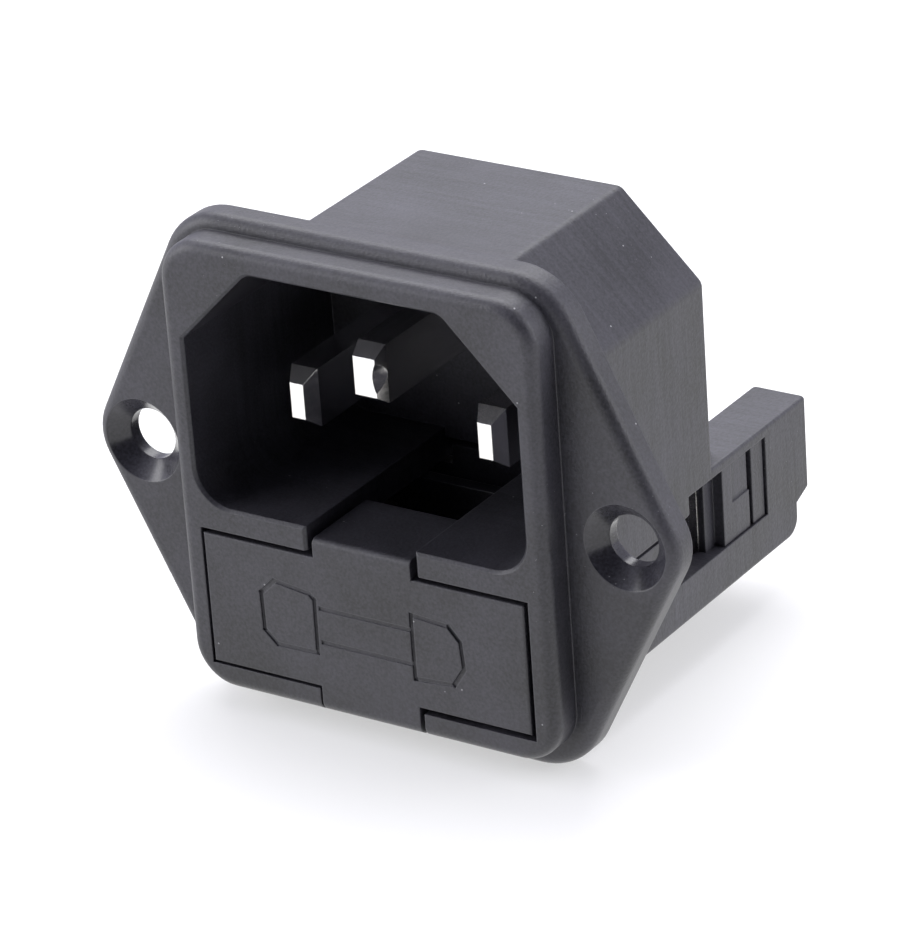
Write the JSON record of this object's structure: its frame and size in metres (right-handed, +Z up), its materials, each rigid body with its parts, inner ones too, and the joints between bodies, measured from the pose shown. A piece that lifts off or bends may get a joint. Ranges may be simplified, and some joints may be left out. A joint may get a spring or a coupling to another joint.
{
  "type": "panel power entry module with fuse drawer",
  "caption": "Screw-flange mains inlet with a three-blade socket recess and a slide-out fuse drawer below it.",
  "frame": {"origin": "middle of the flange's rear face, halfway between the two screw holes", "axes": "+X to the right seen from the front along the line of the screw holes, +Y into the panel, +Z up, towards the earth blade"},
  "size_m": [0.0432, 0.04, 0.0336],
  "materials": {
    "black_plastic": "fine mould texture, semi-matt black",
    "drawer_plastic": "fine mould texture, semi-matt black",
    "blade_metal": "bright nickel plate",
    "terminal_metal": "tin plate, satin",
    "spring_metal": "tin plate, satin",
    "fuse_cap_metal": "bright nickel plate",
    "fuse_glass": "clear",
    "fuse_wire": "drawn wire"
  },
  "bodies": {
    "module": {"inlet_housing": "black_plastic", "left_contact_carrier": "black_plastic", "right_contact_carrier": "black_plastic", "left_blade": "blade_metal", "right_blade": "blade_metal", "earth_blade": "blade_metal", "left_tab": "terminal_metal", "earth_tab": "terminal_metal", "line_link": "terminal_metal", "output_tab": "terminal_metal", "left_fuse_spring": "spring_metal", "right_fuse_spring": "spring_metal"},
    "drawer": {"fuse_drawer": "drawer_plastic", "active_fuse_tube": "fuse_glass", "active_fuse_wire": "fuse_wire", "active_fuse_cap_left": "fuse_cap_metal", "active_fuse_cap_right": "fuse_cap_metal", "spare_fuse_tube": "fuse_glass", "spare_fuse_wire": "fuse_wire", "spare_fuse_cap_left": "fuse_cap_metal", "spare_fuse_cap_right": "fuse_cap_metal"}
  },
  "joints": [
    {"name": "drawer_slide", "type": "slide", "parent": "module", "child": "drawer", "axis": [0, -1, 0], "range_m": [0, 0.03]}
  ]
}
